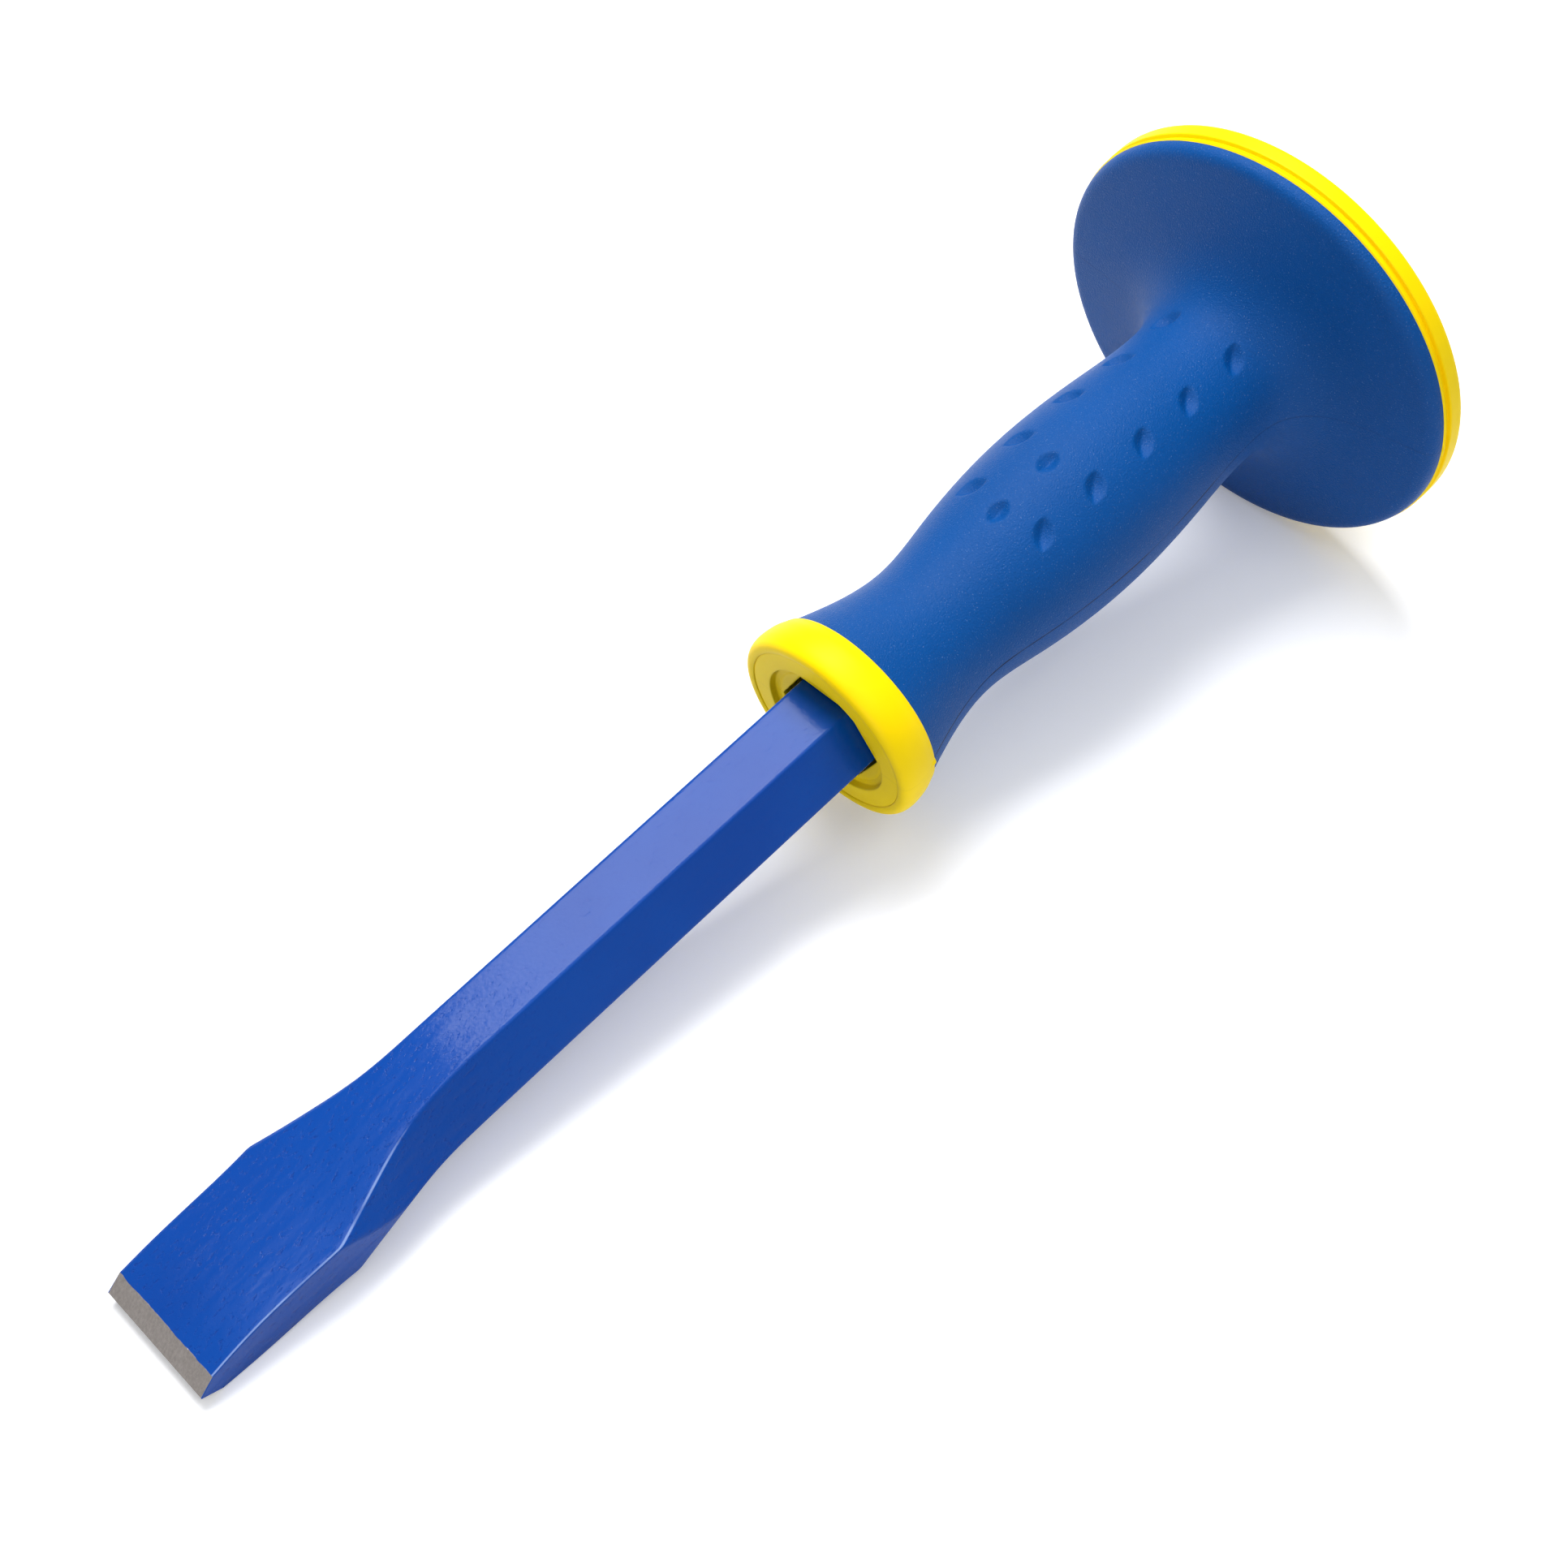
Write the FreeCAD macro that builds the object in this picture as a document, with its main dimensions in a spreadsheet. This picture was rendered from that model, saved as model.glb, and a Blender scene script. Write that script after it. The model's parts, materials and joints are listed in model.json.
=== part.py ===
import FreeCAD, Part
import math
import os
import Sketcher

# Cold chisel with a moulded hand guard, in millimetres.
# Every piece is drawn in the tool's own frame: x = 0 is the cutting edge, +x runs up the
# bar to the struck head, and the blade's two broad faces look up (+z) and down.
# All pieces then share one placement that lays the tool down on the floor: it rests on the
# blade's lower face and on the rim of the hand guard, so the bar slopes up to the head.

doc = FreeCAD.newDocument("cold_chisel")
V = FreeCAD.Vector

SIZES = [
    # the bar
    ("total_length", 304.8),
    ("hex_flats", 19.05),
    ("blade_width", 25.4),
    # blade from the side: distance from the edge, and half thickness there
    ("edge_flat", 0.2),
    ("bevel_length", 3.4),
    ("shoulder_half", 2.85),
    ("blade_swell_x", 10.3),
    ("blade_swell_half", 4.1),
    ("blade_mid_x", 20.4),
    ("blade_mid_half", 4.8),
    ("blade_root_x", 31.0),
    ("blade_root_half", 5.3),
    # the taper from blade to hexagon, and how far its faces lie inside the hexagon's
    ("taper_x", 46.0),
    ("taper_drop", 1.775),
    ("taper_end_x", 54.0),
    ("taper_end_drop", 0.625),
    ("hex_start_x", 62.0),
    # blade from above: the pinch behind the edge, the bulging cheeks, the run into the bar
    ("pinch_x", 16.0),
    ("pinch_depth", 0.35),
    ("cheek_start_bulge", 0.15),
    ("cheek_x", 38.0),
    ("cheek_bulge", 0.6),
    ("cheek_end_bulge", 1.3),
    # how far the hexagon's slanted faces stand out where they open into the blade
    ("slant_open_x", 24.0),
    ("slant_open_rise", 5.675),
    ("slant_root_rise", 3.775),
    ("slant_mid_x", 41.0),
    ("slant_mid_rise", 1.625),
    ("slant_end_x", 51.0),
    ("slant_end_rise", 0.305),
    # struck head: rounded crown around a flat face
    ("crown_length", 4.6),
    ("crown_inset", 3.6),
    ("crown_mid_length", 1.93),
    ("crown_mid_inset", 1.25),
    # hand guard: where its nose sits on the bar
    ("guard_front_x", 151.2),
    # inner sleeve
    ("bore_gap", 0.06),
    ("sleeve_wall", 1.68),
    ("sleeve_inset", 1.2),
    ("sleeve_length", 130.8),
    ("face_ring_width", 3.9),
    ("face_ring_depth", 4.0),
    ("face_ring_slope", 1.5),
    ("mouth_gap", 0.6),
    ("mouth_depth", 6.0),
    ("recess_margin", 2.2),
    ("recess_depth", 1.2),
    ("recess_draft", 0.35),
    # nose collar
    ("collar_length", 9.6),
    ("collar_thickness", 2.65),
    ("collar_round", 2.2),
    ("collar_dip", 0.9),
    ("collar_dip_width", 0.4),
    ("collar_taper", 1.2),
    ("collar_mid_taper", 0.2),
    ("collar_back_round", 0.3),
    # grip: distance behind the collar, and thickness over the sleeve
    ("grip_front_cover", 6.05),
    ("shoulder_along", 8.7),
    ("shoulder_cover", 3.45),
    ("waist_along", 20.2),
    ("waist_cover", 1.8),
    ("rise_along", 33.7),
    ("rise_cover", 3.55),
    ("belly_along", 56.7),
    ("belly_cover", 5.65),
    ("fall_along", 77.2),
    ("fall_cover", 4.5),
    ("neck_along", 91.2),
    ("neck_cover", 3.35),
    ("flare_along", 100.2),
    ("flare_cover", 4.85),
    ("trumpet_along", 105.4),
    ("trumpet_cover", 10.45),
    ("face_along", 107.9),
    ("face_cover", 19.25),
    ("lip_along", 109.2),
    ("lip_width", 2.9),
    ("lip_round_x", 0.72),
    ("lip_round_inset", 0.85),
    ("flange_along", 112.0),
    # dimples
    ("dimple_first_along", 41.2),
    ("dimple_pitch", 13.6),
    ("dimple_mid_shift", 2.4),
    ("dimple_row_angle", 30.0),
    ("dimple_half_width", 2.0),
    ("dimple_half_length", 3.2),
    ("dimple_mid_half_length", 2.7),
    ("dimple_depth", 0.75),
    ("dimple_slant", 42.0),
    # rim plate
    ("rim_radius", 45.0),
    ("rim_step", 0.35),
    ("rim_lip_width", 0.35),
    ("rim_groove_width", 1.5),
    ("rim_groove_depth", 0.45),
    ("rim_groove_draft", 0.1),
    ("rim_thickness", 5.5),
    ("rim_round", 1.2),
    ("plate_band", 4.5),
    ("plate_slope", 1.5),
    ("plate_dish", 1.6),
    ("plate_out_width", 7.0),
    ("plate_out_rise", 0.55),
    ("plate_mid_width", 14.0),
    ("plate_mid_rise", 2.0),
    ("hub_margin", 6.25),
]
DIMPLES_PER_ROW = 5
DIMPLES_IN_MIDDLE = 2

sheet = doc.addObject("Spreadsheet::Sheet", "Sizes")
for row, (name, number) in enumerate(SIZES, start=1):
    sheet.set("A%d" % row, name)
    sheet.set("B%d" % row, repr(number))
    sheet.setAlias("B%d" % row, name)
doc.recompute()


class Size:
    """A length: its number, and the expression that binds it to the sheet."""

    def __init__(self, value, text):
        self.value = float(value)
        self.text = text

    def joined(self, other, sign, value):
        text = other.text if isinstance(other, Size) else repr(float(other))
        return Size(value, "(%s %s %s)" % (self.text, sign, text))

    def __add__(self, other):
        return self.joined(other, "+", self.value + number_of(other))

    def __sub__(self, other):
        return self.joined(other, "-", self.value - number_of(other))

    def __mul__(self, other):
        return self.joined(other, "*", self.value * number_of(other))

    def __truediv__(self, other):
        return self.joined(other, "/", self.value / number_of(other))

    def __neg__(self):
        return Size(-self.value, "(0 - %s)" % self.text)


def number_of(item):
    return item.value if isinstance(item, Size) else float(item)


def size(name):
    return Size(sheet.get(name), "Sizes.%s" % name)


ZERO = Size(0, "0")

# ---------------------------------------------------------------- sizes worked out from others
half_width = size("blade_width") / 2
half_flats = size("hex_flats") / 2
corner_half = size("hex_flats") / math.sqrt(3)
end_x = size("total_length")
hex_start = size("hex_start_x")
# a cutter this long passes right through the bar
overrun = (size("blade_width") + size("hex_flats")) * 2

guard_x = size("guard_front_x")
bore_flats = size("hex_flats") + size("bore_gap") * 2
mouth_flats = size("hex_flats") + size("mouth_gap") * 2
sleeve_r = bore_flats / math.sqrt(3) + size("sleeve_wall")
recess_r = mouth_flats / math.sqrt(3) + size("recess_margin")
face_ring_r = recess_r + size("face_ring_width")
sleeve_front = guard_x + size("sleeve_inset")
sleeve_back = sleeve_front + size("sleeve_length")
recess_floor = sleeve_front + size("recess_depth")
face_ring_back = sleeve_front + size("face_ring_depth")
sleeve_shank = face_ring_back + size("face_ring_slope")
grip_x = guard_x + size("collar_length")
seam_x = grip_x + size("flange_along")
rim_r = size("rim_radius")
flange_r = rim_r - size("rim_step")


# ---------------------------------------------------------------- drawing helpers
def new_sketch(body, name, role, tilt=0.0):
    """Sketch on one of the body's own planes, tilted about the x axis."""
    sketch = body.newObject("Sketcher::SketchObject", name)
    plane = [item for item in body.Origin.OriginFeatures if item.Role == role][0]
    sketch.AttachmentSupport = (plane, [""])
    sketch.MapMode = "FlatFace"
    sketch.AttachmentOffset = FreeCAD.Placement(V(0, 0, 0), FreeCAD.Rotation(V(1, 0, 0), tilt))
    return sketch


def flat(corner):
    return V(number_of(corner[0]), number_of(corner[1]), 0)


def curve_through(points, start_along=None, end_along=None):
    """Smooth curve through points, its ends held to the directions given."""
    curve = Part.BSplineCurve()
    if start_along is None and end_along is None:
        curve.interpolate(Points=points)
        return curve
    tangents = [V(0, 0, 0) for _ in points]
    held = [False for _ in points]
    if start_along is not None:
        tangents[0] = start_along
        held[0] = True
    if end_along is not None:
        tangents[-1] = end_along
        held[-1] = True
    curve.interpolate(Points=points, Tangents=tangents, TangentFlags=held)
    return curve


def end_on(sketch, geometry, corner):
    """1 or 2, whichever end of the curve lies on the corner."""
    near = sketch.getPoint(geometry, 1).distanceToPoint(flat(corner))
    far = sketch.getPoint(geometry, 2).distanceToPoint(flat(corner))
    return 1 if near <= far else 2


def bind_corner(sketch, geometry, corner):
    """Tie a corner of the outline to its two sizes."""
    where = end_on(sketch, geometry, corner)
    for kind, axis, part in (("DistanceX", -2, corner[0]), ("DistanceY", -1, corner[1])):
        if part is ZERO:
            sketch.addConstraint(Sketcher.Constraint("PointOnObject", geometry, where, axis))
        else:
            rule = Sketcher.Constraint(kind, -1, 1, geometry, where, part.value)
            number = sketch.addConstraint(rule)
            sketch.setExpression("Constraints[%d]" % number, part.text)


def close_loop(sketch, items):
    """Draw a closed outline through corners (x, y).

    After a corner, ("arc", point) bends the next side over a point, and
    ("curve", points, start_along, end_along) makes it a smooth curve through points.
    """
    corners = []
    bends = {}
    for item in items:
        if isinstance(item[0], str):
            bends[len(corners) - 1] = item
        else:
            corners.append(item)
    first = sketch.GeometryCount
    total = len(corners)
    for number, corner in enumerate(corners):
        start = flat(corner)
        end = flat(corners[(number + 1) % total])
        bend = bends.get(number)
        if bend is None:
            sketch.addGeometry(Part.LineSegment(start, end))
        elif bend[0] == "arc":
            sketch.addGeometry(Part.Arc(start, flat(bend[1]), end))
        else:
            points = [start] + [flat(point) for point in bend[1]] + [end]
            sketch.addGeometry(curve_through(points, *bend[2:]))
    for number in range(total):
        corner = corners[(number + 1) % total]
        here = first + number
        following = first + (number + 1) % total
        ends = (here, end_on(sketch, here, corner), following, end_on(sketch, following, corner))
        sketch.addConstraint(Sketcher.Constraint("Coincident", *ends))
    for number, corner in enumerate(corners):
        bind_corner(sketch, first + number, corner)


def mirrored(points, sign):
    """The same points, above the axis (1) or below it (-1)."""
    return [(across, up * sign) for across, up in points]


def revolve(body, name, sketch, kind="PartDesign::Revolution"):
    feature = body.newObject(kind, name)
    feature.Profile = sketch
    feature.ReferenceAxis = (sketch, ["H_Axis"])
    feature.Angle = 360.0
    return feature


def cut_through(body, name, sketch):
    """Cut to both sides of the sketch, further than the bar is thick."""
    feature = body.newObject("PartDesign::Pocket", name)
    feature.Profile = sketch
    feature.Midplane = True
    feature.setExpression("Length", overrun.text)
    return feature


# ---------------------------------------------------------------- chisel bar
# The blank is the outline seen from above, as thick as the hexagon. The side outline, the
# slanted faces and the crown are then cut from it.
bar = doc.addObject("PartDesign::Body", "chisel_bar")
taper_corner = corner_half + size("cheek_end_bulge")
side_of_blade = [
    (size("taper_x"), taper_corner),
    (size("cheek_x"), half_width + size("cheek_bulge")),
    (size("blade_root_x"), half_width + size("cheek_start_bulge")),
    (size("pinch_x"), half_width - size("pinch_depth")),
]
plan = new_sketch(bar, "plan", "XY_Plane")
close_loop(plan, [
    (ZERO, half_width),
    (ZERO, -half_width),
    ("curve", mirrored(side_of_blade[::-1], -1), None, V(1, 0, 0)),
    (hex_start, -corner_half),
    (end_x, -corner_half),
    (end_x, corner_half),
    (hex_start, corner_half),
    ("curve", side_of_blade, V(-1, 0, 0), None),
])
blank = bar.newObject("PartDesign::Pad", "blank")
blank.Profile = plan
blank.Midplane = True
blank.setExpression("Length", size("hex_flats").text)

broad_face = [
    (size("blade_swell_x"), size("blade_swell_half")),
    (size("blade_mid_x"), size("blade_mid_half")),
    (size("blade_root_x"), size("blade_root_half")),
    (size("taper_x"), half_flats - size("taper_drop")),
    (size("taper_end_x"), half_flats - size("taper_end_drop")),
]
before_edge = -size("bevel_length")
edge_half = size("edge_flat") / 2
for name, sign in (("upper_face", 1), ("lower_face", -1)):
    side = new_sketch(bar, name + "_line", "XZ_Plane")
    close_loop(side, [
        (before_edge, edge_half * sign),
        (ZERO, edge_half * sign),
        (size("bevel_length"), size("shoulder_half") * sign),
        ("curve", mirrored(broad_face, sign), None, V(1, 0, 0)),
        (hex_start, half_flats * sign),
        (hex_start, size("hex_flats") * sign),
        (before_edge, size("hex_flats") * sign),
    ])
    cut_through(bar, name, side)

slant_run = [
    (size("blade_root_x"), half_flats + size("slant_root_rise")),
    (size("slant_mid_x"), half_flats + size("slant_mid_rise")),
    (size("slant_end_x"), half_flats + size("slant_end_rise")),
]
past_head = end_x + size("crown_length")
outside = half_width + half_flats
for name, tilt in (("left_slants", 30.0), ("right_slants", -30.0)):
    slant = new_sketch(bar, name + "_line", "XY_Plane", tilt)
    for sign in (1, -1):
        close_loop(slant, [
            (past_head, half_flats * sign),
            (past_head, outside * sign),
            (size("slant_open_x"), outside * sign),
            (size("slant_open_x"), (half_flats + size("slant_open_rise")) * sign),
            ("curve", mirrored(slant_run, sign), None, V(1, 0, 0)),
            (hex_start, half_flats * sign),
        ])
    cut_through(bar, name, slant)

crown_start = end_x - size("crown_length")
crown_r = corner_half - size("crown_inset")
crown_line = new_sketch(bar, "crown_line", "XZ_Plane")
close_loop(crown_line, [
    (crown_start, corner_half),
    ("arc", (end_x - size("crown_mid_length"), corner_half - size("crown_mid_inset"))),
    (end_x, crown_r),
    (past_head, crown_r),
    (past_head, outside),
    (crown_start, outside),
])
revolve(bar, "crown", crown_line, "PartDesign::Groove")

# ---------------------------------------------------------------- inner sleeve
# A turned tube with a ring at its nose, bored to a hexagon that runs on the bar. The hole
# is wider at its mouth.
sleeve = doc.addObject("PartDesign::Body", "core_sleeve")
sleeve_line = new_sketch(sleeve, "sleeve_line", "XZ_Plane")
close_loop(sleeve_line, [
    (recess_floor, ZERO),
    (recess_floor, recess_r - size("recess_draft")),
    (sleeve_front, recess_r),
    (sleeve_front, face_ring_r),
    (face_ring_back, face_ring_r),
    (sleeve_shank, sleeve_r),
    (sleeve_back, sleeve_r),
    (sleeve_back, ZERO),
])
revolve(sleeve, "sleeve_turned", sleeve_line)


def hex_hole(body, name, flats, length):
    """Hexagonal hole from in front of the sleeve, with two flats level."""
    apex = flats / math.sqrt(3)
    sketch = new_sketch(body, name + "_line", "YZ_Plane")
    close_loop(sketch, [
        (apex, ZERO),
        (apex / 2, flats / 2),
        (-(apex / 2), flats / 2),
        (-apex, ZERO),
        (-(apex / 2), -(flats / 2)),
        (apex / 2, -(flats / 2)),
    ])
    sketch.setExpression("AttachmentOffset.Base.z", guard_x.text)
    hole = body.newObject("PartDesign::Pocket", name)
    hole.Profile = sketch
    hole.Reversed = True
    hole.setExpression("Length", length.text)
    return hole


hex_hole(sleeve, "bore", bore_flats, size("sleeve_length") + size("sleeve_inset") * 2)
hex_hole(sleeve, "mouth", mouth_flats, recess_floor + size("mouth_depth") - guard_x)

# ---------------------------------------------------------------- nose collar
# Rounded band around the sleeve's nose ring, thinning a little towards the grip.
collar = doc.addObject("PartDesign::Body", "nose_collar")
collar_line = new_sketch(collar, "collar_line", "XZ_Plane")
collar_r = face_ring_r + size("collar_thickness")
collar_back_r = collar_r - size("collar_taper")
turn = size("collar_round")
back_turn = size("collar_back_round")
# an arc's middle lies this share of its radius in from the corner it rounds
corner_share = 1 - math.sqrt(0.5)
close_loop(collar_line, [
    (face_ring_back, face_ring_r),
    (guard_x + size("collar_dip"), face_ring_r),
    (guard_x, face_ring_r + size("collar_dip_width")),
    (guard_x, collar_r - turn),
    ("arc", (guard_x + turn * corner_share, collar_r - turn * corner_share)),
    (guard_x + turn, collar_r),
    ("arc", (guard_x + turn * 2, collar_r - size("collar_mid_taper"))),
    (grip_x - back_turn, collar_back_r),
    ("arc", (grip_x - back_turn * corner_share, collar_back_r - back_turn * corner_share)),
    (grip_x, collar_back_r - back_turn),
    (grip_x, sleeve_r),
    (sleeve_shank, sleeve_r),
])
revolve(collar, "collar_turned", collar_line)

# ---------------------------------------------------------------- grip with its flange
# The waisted hand grip and the round guard face behind it are one moulding over the sleeve.
handle = doc.addObject("PartDesign::Body", "handle")
STATIONS = ["shoulder", "waist", "rise", "belly", "fall", "neck", "flare", "trumpet", "face"]
profile = [(grip_x + size(name + "_along"), sleeve_r + size(name + "_cover")) for name in STATIONS]
grip_front = (grip_x, sleeve_r + size("grip_front_cover"))
lip = (grip_x + size("lip_along"), flange_r - size("lip_width"))
grip_line = new_sketch(handle, "grip_line", "XZ_Plane")
close_loop(grip_line, [
    (grip_x, sleeve_r),
    grip_front,
    ("curve", profile),
    lip,
    ("arc", (lip[0] + size("lip_round_x"), flange_r - size("lip_round_inset"))),
    (seam_x, flange_r),
    (seam_x, sleeve_r),
])
revolve(handle, "handle_turned", grip_line)

outline = curve_through([flat(point) for point in [grip_front] + profile + [lip]])


def side_at(along):
    """Radius of the grip at a distance along the bar, and the slope of its side."""
    across = Part.LineSegment(V(along, 0, 0), V(along, flange_r.value, 0))
    point = outline.intersect(across)[0]
    direction = outline.tangent(outline.parameter(V(point.X, point.Y, point.Z)))[0]
    return point.Y, math.degrees(math.atan2(direction.y, direction.x))


def dimple_cutter(along, angle, half_length, slant):
    """Pointed oval cutter, pressed into the side of the grip.

    It is an arc turned about its own chord. The arc's radius and the cutter's width are
    those that leave an oval of the given half length and width at the dimple's depth.
    """
    depth = size("dimple_depth").value
    half = size("dimple_half_width").value
    belly = (half * half + depth * depth) / (2 * depth)
    sweep = (half_length * half_length + depth * depth) / (2 * depth)
    tip = math.sqrt(sweep * sweep - (sweep - belly) ** 2)
    arc = Part.Arc(V(-tip, 0, 0), V(0, 0, belly), V(tip, 0, 0)).toShape()
    chord = Part.makeLine(V(tip, 0, 0), V(-tip, 0, 0))
    cutter = Part.Face(Part.Wire([arc, chord])).revolve(V(0, 0, 0), V(1, 0, 0), 360)
    radius, slope = side_at(along)
    cutter.rotate(V(0, 0, 0), V(0, 0, 1), slant)
    cutter.translate(V(0, 0, belly - depth))
    cutter.rotate(V(0, 0, 0), V(0, 1, 0), -slope)
    cutter.translate(V(along, 0, radius))
    cutter.rotate(V(0, 0, 0), V(1, 0, 0), angle)
    return cutter


def dimple_rows(facing):
    """Three rows about one side: the outer two lie aslant, the middle one is short."""
    first = (grip_x + size("dimple_first_along")).value
    pitch = size("dimple_pitch").value
    row_angle = size("dimple_row_angle").value
    cutters = []
    for number in range(DIMPLES_PER_ROW):
        for side in (1, -1):
            half_length = size("dimple_half_length").value
            slant = size("dimple_slant").value * side
            angle = facing + row_angle * side
            cutters.append(dimple_cutter(first + pitch * number, angle, half_length, slant))
    for number in range(DIMPLES_IN_MIDDLE):
        along = first - size("dimple_mid_shift").value + pitch * number
        cutters.append(dimple_cutter(along, facing, size("dimple_mid_half_length").value, 0.0))
    return cutters


dimples = doc.addObject("Part::Feature", "dimples")
dimples.Shape = Part.makeCompound(dimple_rows(0.0) + dimple_rows(180.0))
grip = doc.addObject("Part::Cut", "grip")
grip.Base = handle
grip.Tool = dimples

# ---------------------------------------------------------------- rim plate
# The plate backs the flange. Its edge shows as a thin lip, a groove and a wider band.
rim = doc.addObject("PartDesign::Body", "guard_rim")
rim_line = new_sketch(rim, "rim_line", "XZ_Plane")
lip_end = seam_x + size("rim_lip_width")
band_start = lip_end + size("rim_groove_width")
groove_r = rim_r - size("rim_groove_depth")
draft = size("rim_groove_draft")
plate_back = seam_x + size("rim_thickness")
dish_x = plate_back - size("plate_dish")
dish_r = rim_r - size("plate_band") - size("plate_slope")
bend = size("rim_round")
close_loop(rim_line, [
    (seam_x, sleeve_r),
    (seam_x, flange_r),
    (lip_end, rim_r),
    (lip_end + draft, groove_r),
    (band_start - draft, groove_r),
    (band_start, rim_r),
    (plate_back - bend, rim_r),
    ("arc", (plate_back - bend * corner_share, rim_r - bend * corner_share)),
    (plate_back, rim_r - bend),
    (plate_back, rim_r - size("plate_band")),
    (dish_x, dish_r),
    ("curve", [
        (dish_x + size("plate_out_rise"), dish_r - size("plate_out_width")),
        (dish_x + size("plate_mid_rise"), dish_r - size("plate_mid_width")),
    ]),
    (sleeve_back, sleeve_r + size("hub_margin")),
    (sleeve_back, sleeve_r),
])
revolve(rim, "rim_turned", rim_line)

doc.recompute()

# ---------------------------------------------------------------- lay the tool on the floor
pieces = {
    "chisel_bar": bar,
    "core_sleeve": sleeve,
    "nose_collar": collar,
    "grip": grip,
    "guard_rim": rim,
}


def sloped(degrees):
    return FreeCAD.Rotation(V(0, 1, 0), -degrees)


def box_at(items, degrees):
    """Exact box of some pieces once the tool slopes up by an angle."""
    turned = []
    for item in items:
        copy = item.Shape.copy()
        copy.Placement = FreeCAD.Placement(V(0, 0, 0), sloped(degrees))
        turned.append(copy)
    return Part.makeCompound(turned).optimalBoundingBox(False, False)


def step_up(degrees):
    """How much higher the bar's lowest point is than the guard's, at a slope."""
    return box_at([bar], degrees).ZMin - box_at([grip, rim], degrees).ZMin


# The slope at which blade and guard touch the floor together, by false position.
low, high = 3.0, 20.0
low_step, high_step = step_up(low), step_up(high)
slope = low
for _ in range(20):
    slope = low - low_step * (high - low) / (high_step - low_step)
    step = step_up(slope)
    if abs(step) < 1e-6:
        break
    if (step > 0) == (low_step > 0):
        low, low_step = slope, step
    else:
        high, high_step = slope, step

# The origin is on the floor, under the middle of the tool's box.
box = box_at(pieces.values(), slope)
lying = FreeCAD.Placement(V(-box.Center.x, 0, -box.ZMin), sloped(slope))
for item in pieces.values():
    item.Placement = lying
doc.recompute()
print("slope", slope, "shift", lying.Base)

# ---------------------------------------------------------------- check and write
for item in doc.Objects:
    if "Invalid" in item.State or "Error" in item.State:
        raise RuntimeError("failed feature: %s %s" % (item.Name, item.State))
os.makedirs("parts", exist_ok=True)
for name, item in pieces.items():
    item.Label = name
    shape = item.Shape
    if shape.isNull() or not shape.isValid():
        raise RuntimeError("bad shape: " + name)
    shape.exportStep(os.path.join("parts", name + ".step"))
    print(name, "solids", len(shape.Solids), "volume", round(shape.Volume, 1))
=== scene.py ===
# %% [markdown]
# A cold chisel with a moulded hand guard. The CAD model gives the frame: every piece's place and
# size. This script dresses that frame. It skins each CAD solid with an even mesh whose edges are
# softly rounded, as forging and moulding leave them, and gives each skin its finish.

import json
import math

import bpy
import numpy as np
from mathutils import Matrix, Vector


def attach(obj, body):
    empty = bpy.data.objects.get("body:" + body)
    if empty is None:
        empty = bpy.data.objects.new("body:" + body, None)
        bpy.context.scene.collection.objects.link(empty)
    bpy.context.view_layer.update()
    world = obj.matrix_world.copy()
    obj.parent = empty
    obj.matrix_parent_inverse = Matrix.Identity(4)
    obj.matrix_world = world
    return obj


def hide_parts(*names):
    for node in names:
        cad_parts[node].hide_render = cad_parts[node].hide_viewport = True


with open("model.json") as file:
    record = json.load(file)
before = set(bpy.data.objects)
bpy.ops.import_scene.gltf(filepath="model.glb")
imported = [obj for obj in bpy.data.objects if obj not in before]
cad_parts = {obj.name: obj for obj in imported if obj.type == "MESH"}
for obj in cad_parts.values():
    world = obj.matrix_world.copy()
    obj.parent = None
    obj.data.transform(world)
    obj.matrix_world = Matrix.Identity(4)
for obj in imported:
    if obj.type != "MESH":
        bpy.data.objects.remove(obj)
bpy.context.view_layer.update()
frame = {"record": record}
record = frame["record"]
mounts = {mount["name"]: mount for mount in record["mounts"]}

# %% [markdown]
# The bar lies at a slope, because the tool rests on its blade and on the rim of its guard. Shapes
# are far easier to write along the bar, so everything below is drawn in the tool's own frame:
# x runs from the cutting edge to the struck head, z stands square to the broad faces of the blade.
# One matrix, worked out from the record, then lays each point down in the row's frame.

# %% The tool's own frame
MM = 0.001
edge_point = Vector(mounts["cutting_edge"]["pos_m"])
head_point = Vector(mounts["struck_face"]["pos_m"])
along = (head_point - edge_point).normalized()
sideways = Vector((0, 1, 0))
upward = along.cross(sideways)
lying = Matrix((along, sideways, upward)).transposed().to_4x4()
lying.translation = edge_point
lying_rows = np.array(lying)
bar_length = (head_point - edge_point).length / MM
print("bar length, mm:", round(bar_length, 2))


def laid(x, y, z):
    """A point of the tool's frame, in mm, as a point of the row's frame, in metres."""
    return lying @ (Vector((x, y, z)) * MM)


# %% [markdown]
# All the skins are nets of rings strung along the bar. A net is quick to make from arrays, its
# quads follow the form, and a crease can be kept by marking one ring of edges as sharp. The
# alternative, cutting and bevelling a dense CAD mesh, leaves uneven triangles that show in gloss.

# %% Nets of rings
STEPS_ROUND = 480
turn = np.arange(STEPS_ROUND) * (2 * np.pi / STEPS_ROUND)


def ring(x, radius):
    """One ring at x: radius is a number, or one for each direction."""
    radius = radius * np.ones(STEPS_ROUND)
    return np.stack([np.full(STEPS_ROUND, x), radius * np.cos(turn), radius * np.sin(turn)], axis=1)


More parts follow.
